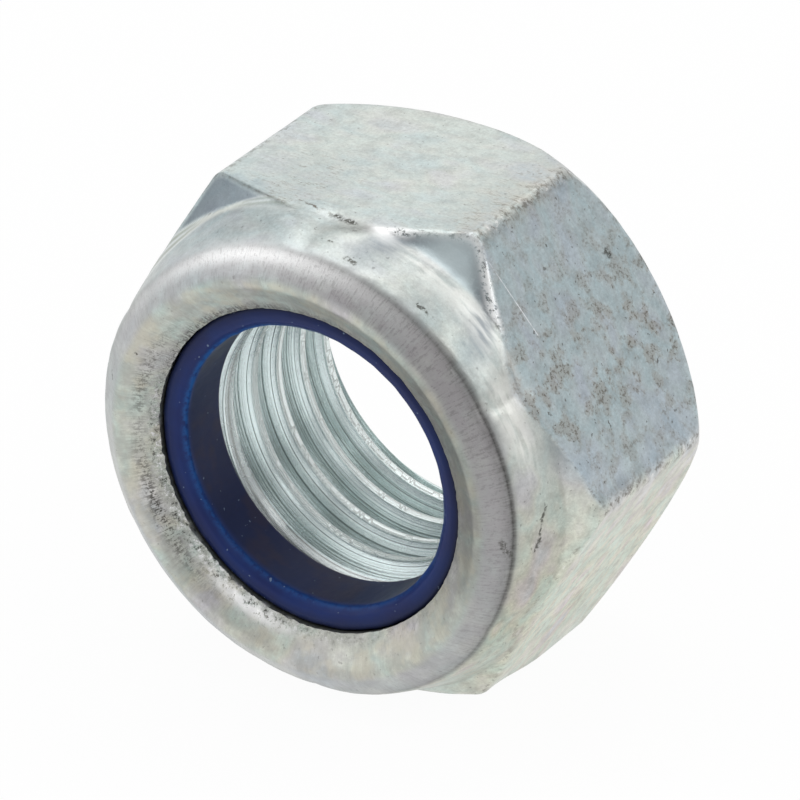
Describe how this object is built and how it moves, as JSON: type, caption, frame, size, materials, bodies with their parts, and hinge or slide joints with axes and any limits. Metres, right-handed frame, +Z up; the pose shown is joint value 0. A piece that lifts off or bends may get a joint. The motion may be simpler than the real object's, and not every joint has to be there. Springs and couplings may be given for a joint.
{
  "type": "nylon insert lock nut",
  "caption": "Hexagon lock nut: zinc plated steel with a round rolled collar that grips a blue nylon ring above a coarse metric thread.",
  "frame": {"origin": "on the surface it stands on, under the middle of the nut", "axes": "+Z up, square to the flat of the hexagon that it stands on; +Y along the thread axis, from the nylon ring's end to the bearing face, so the ring's end faces -Y; +X through a corner of the hexagon"},
  "size_m": [0.0344, 0.019, 0.03],
  "materials": {
    "zinc_steel": "zinc plated, pale blue passivated, satin with stains",
    "nylon": "dark blue nylon, satin gloss"
  },
  "bodies": {
    "root": {"nut_body": "zinc_steel", "nylon_ring": "nylon"}
  },
  "joints": []
}
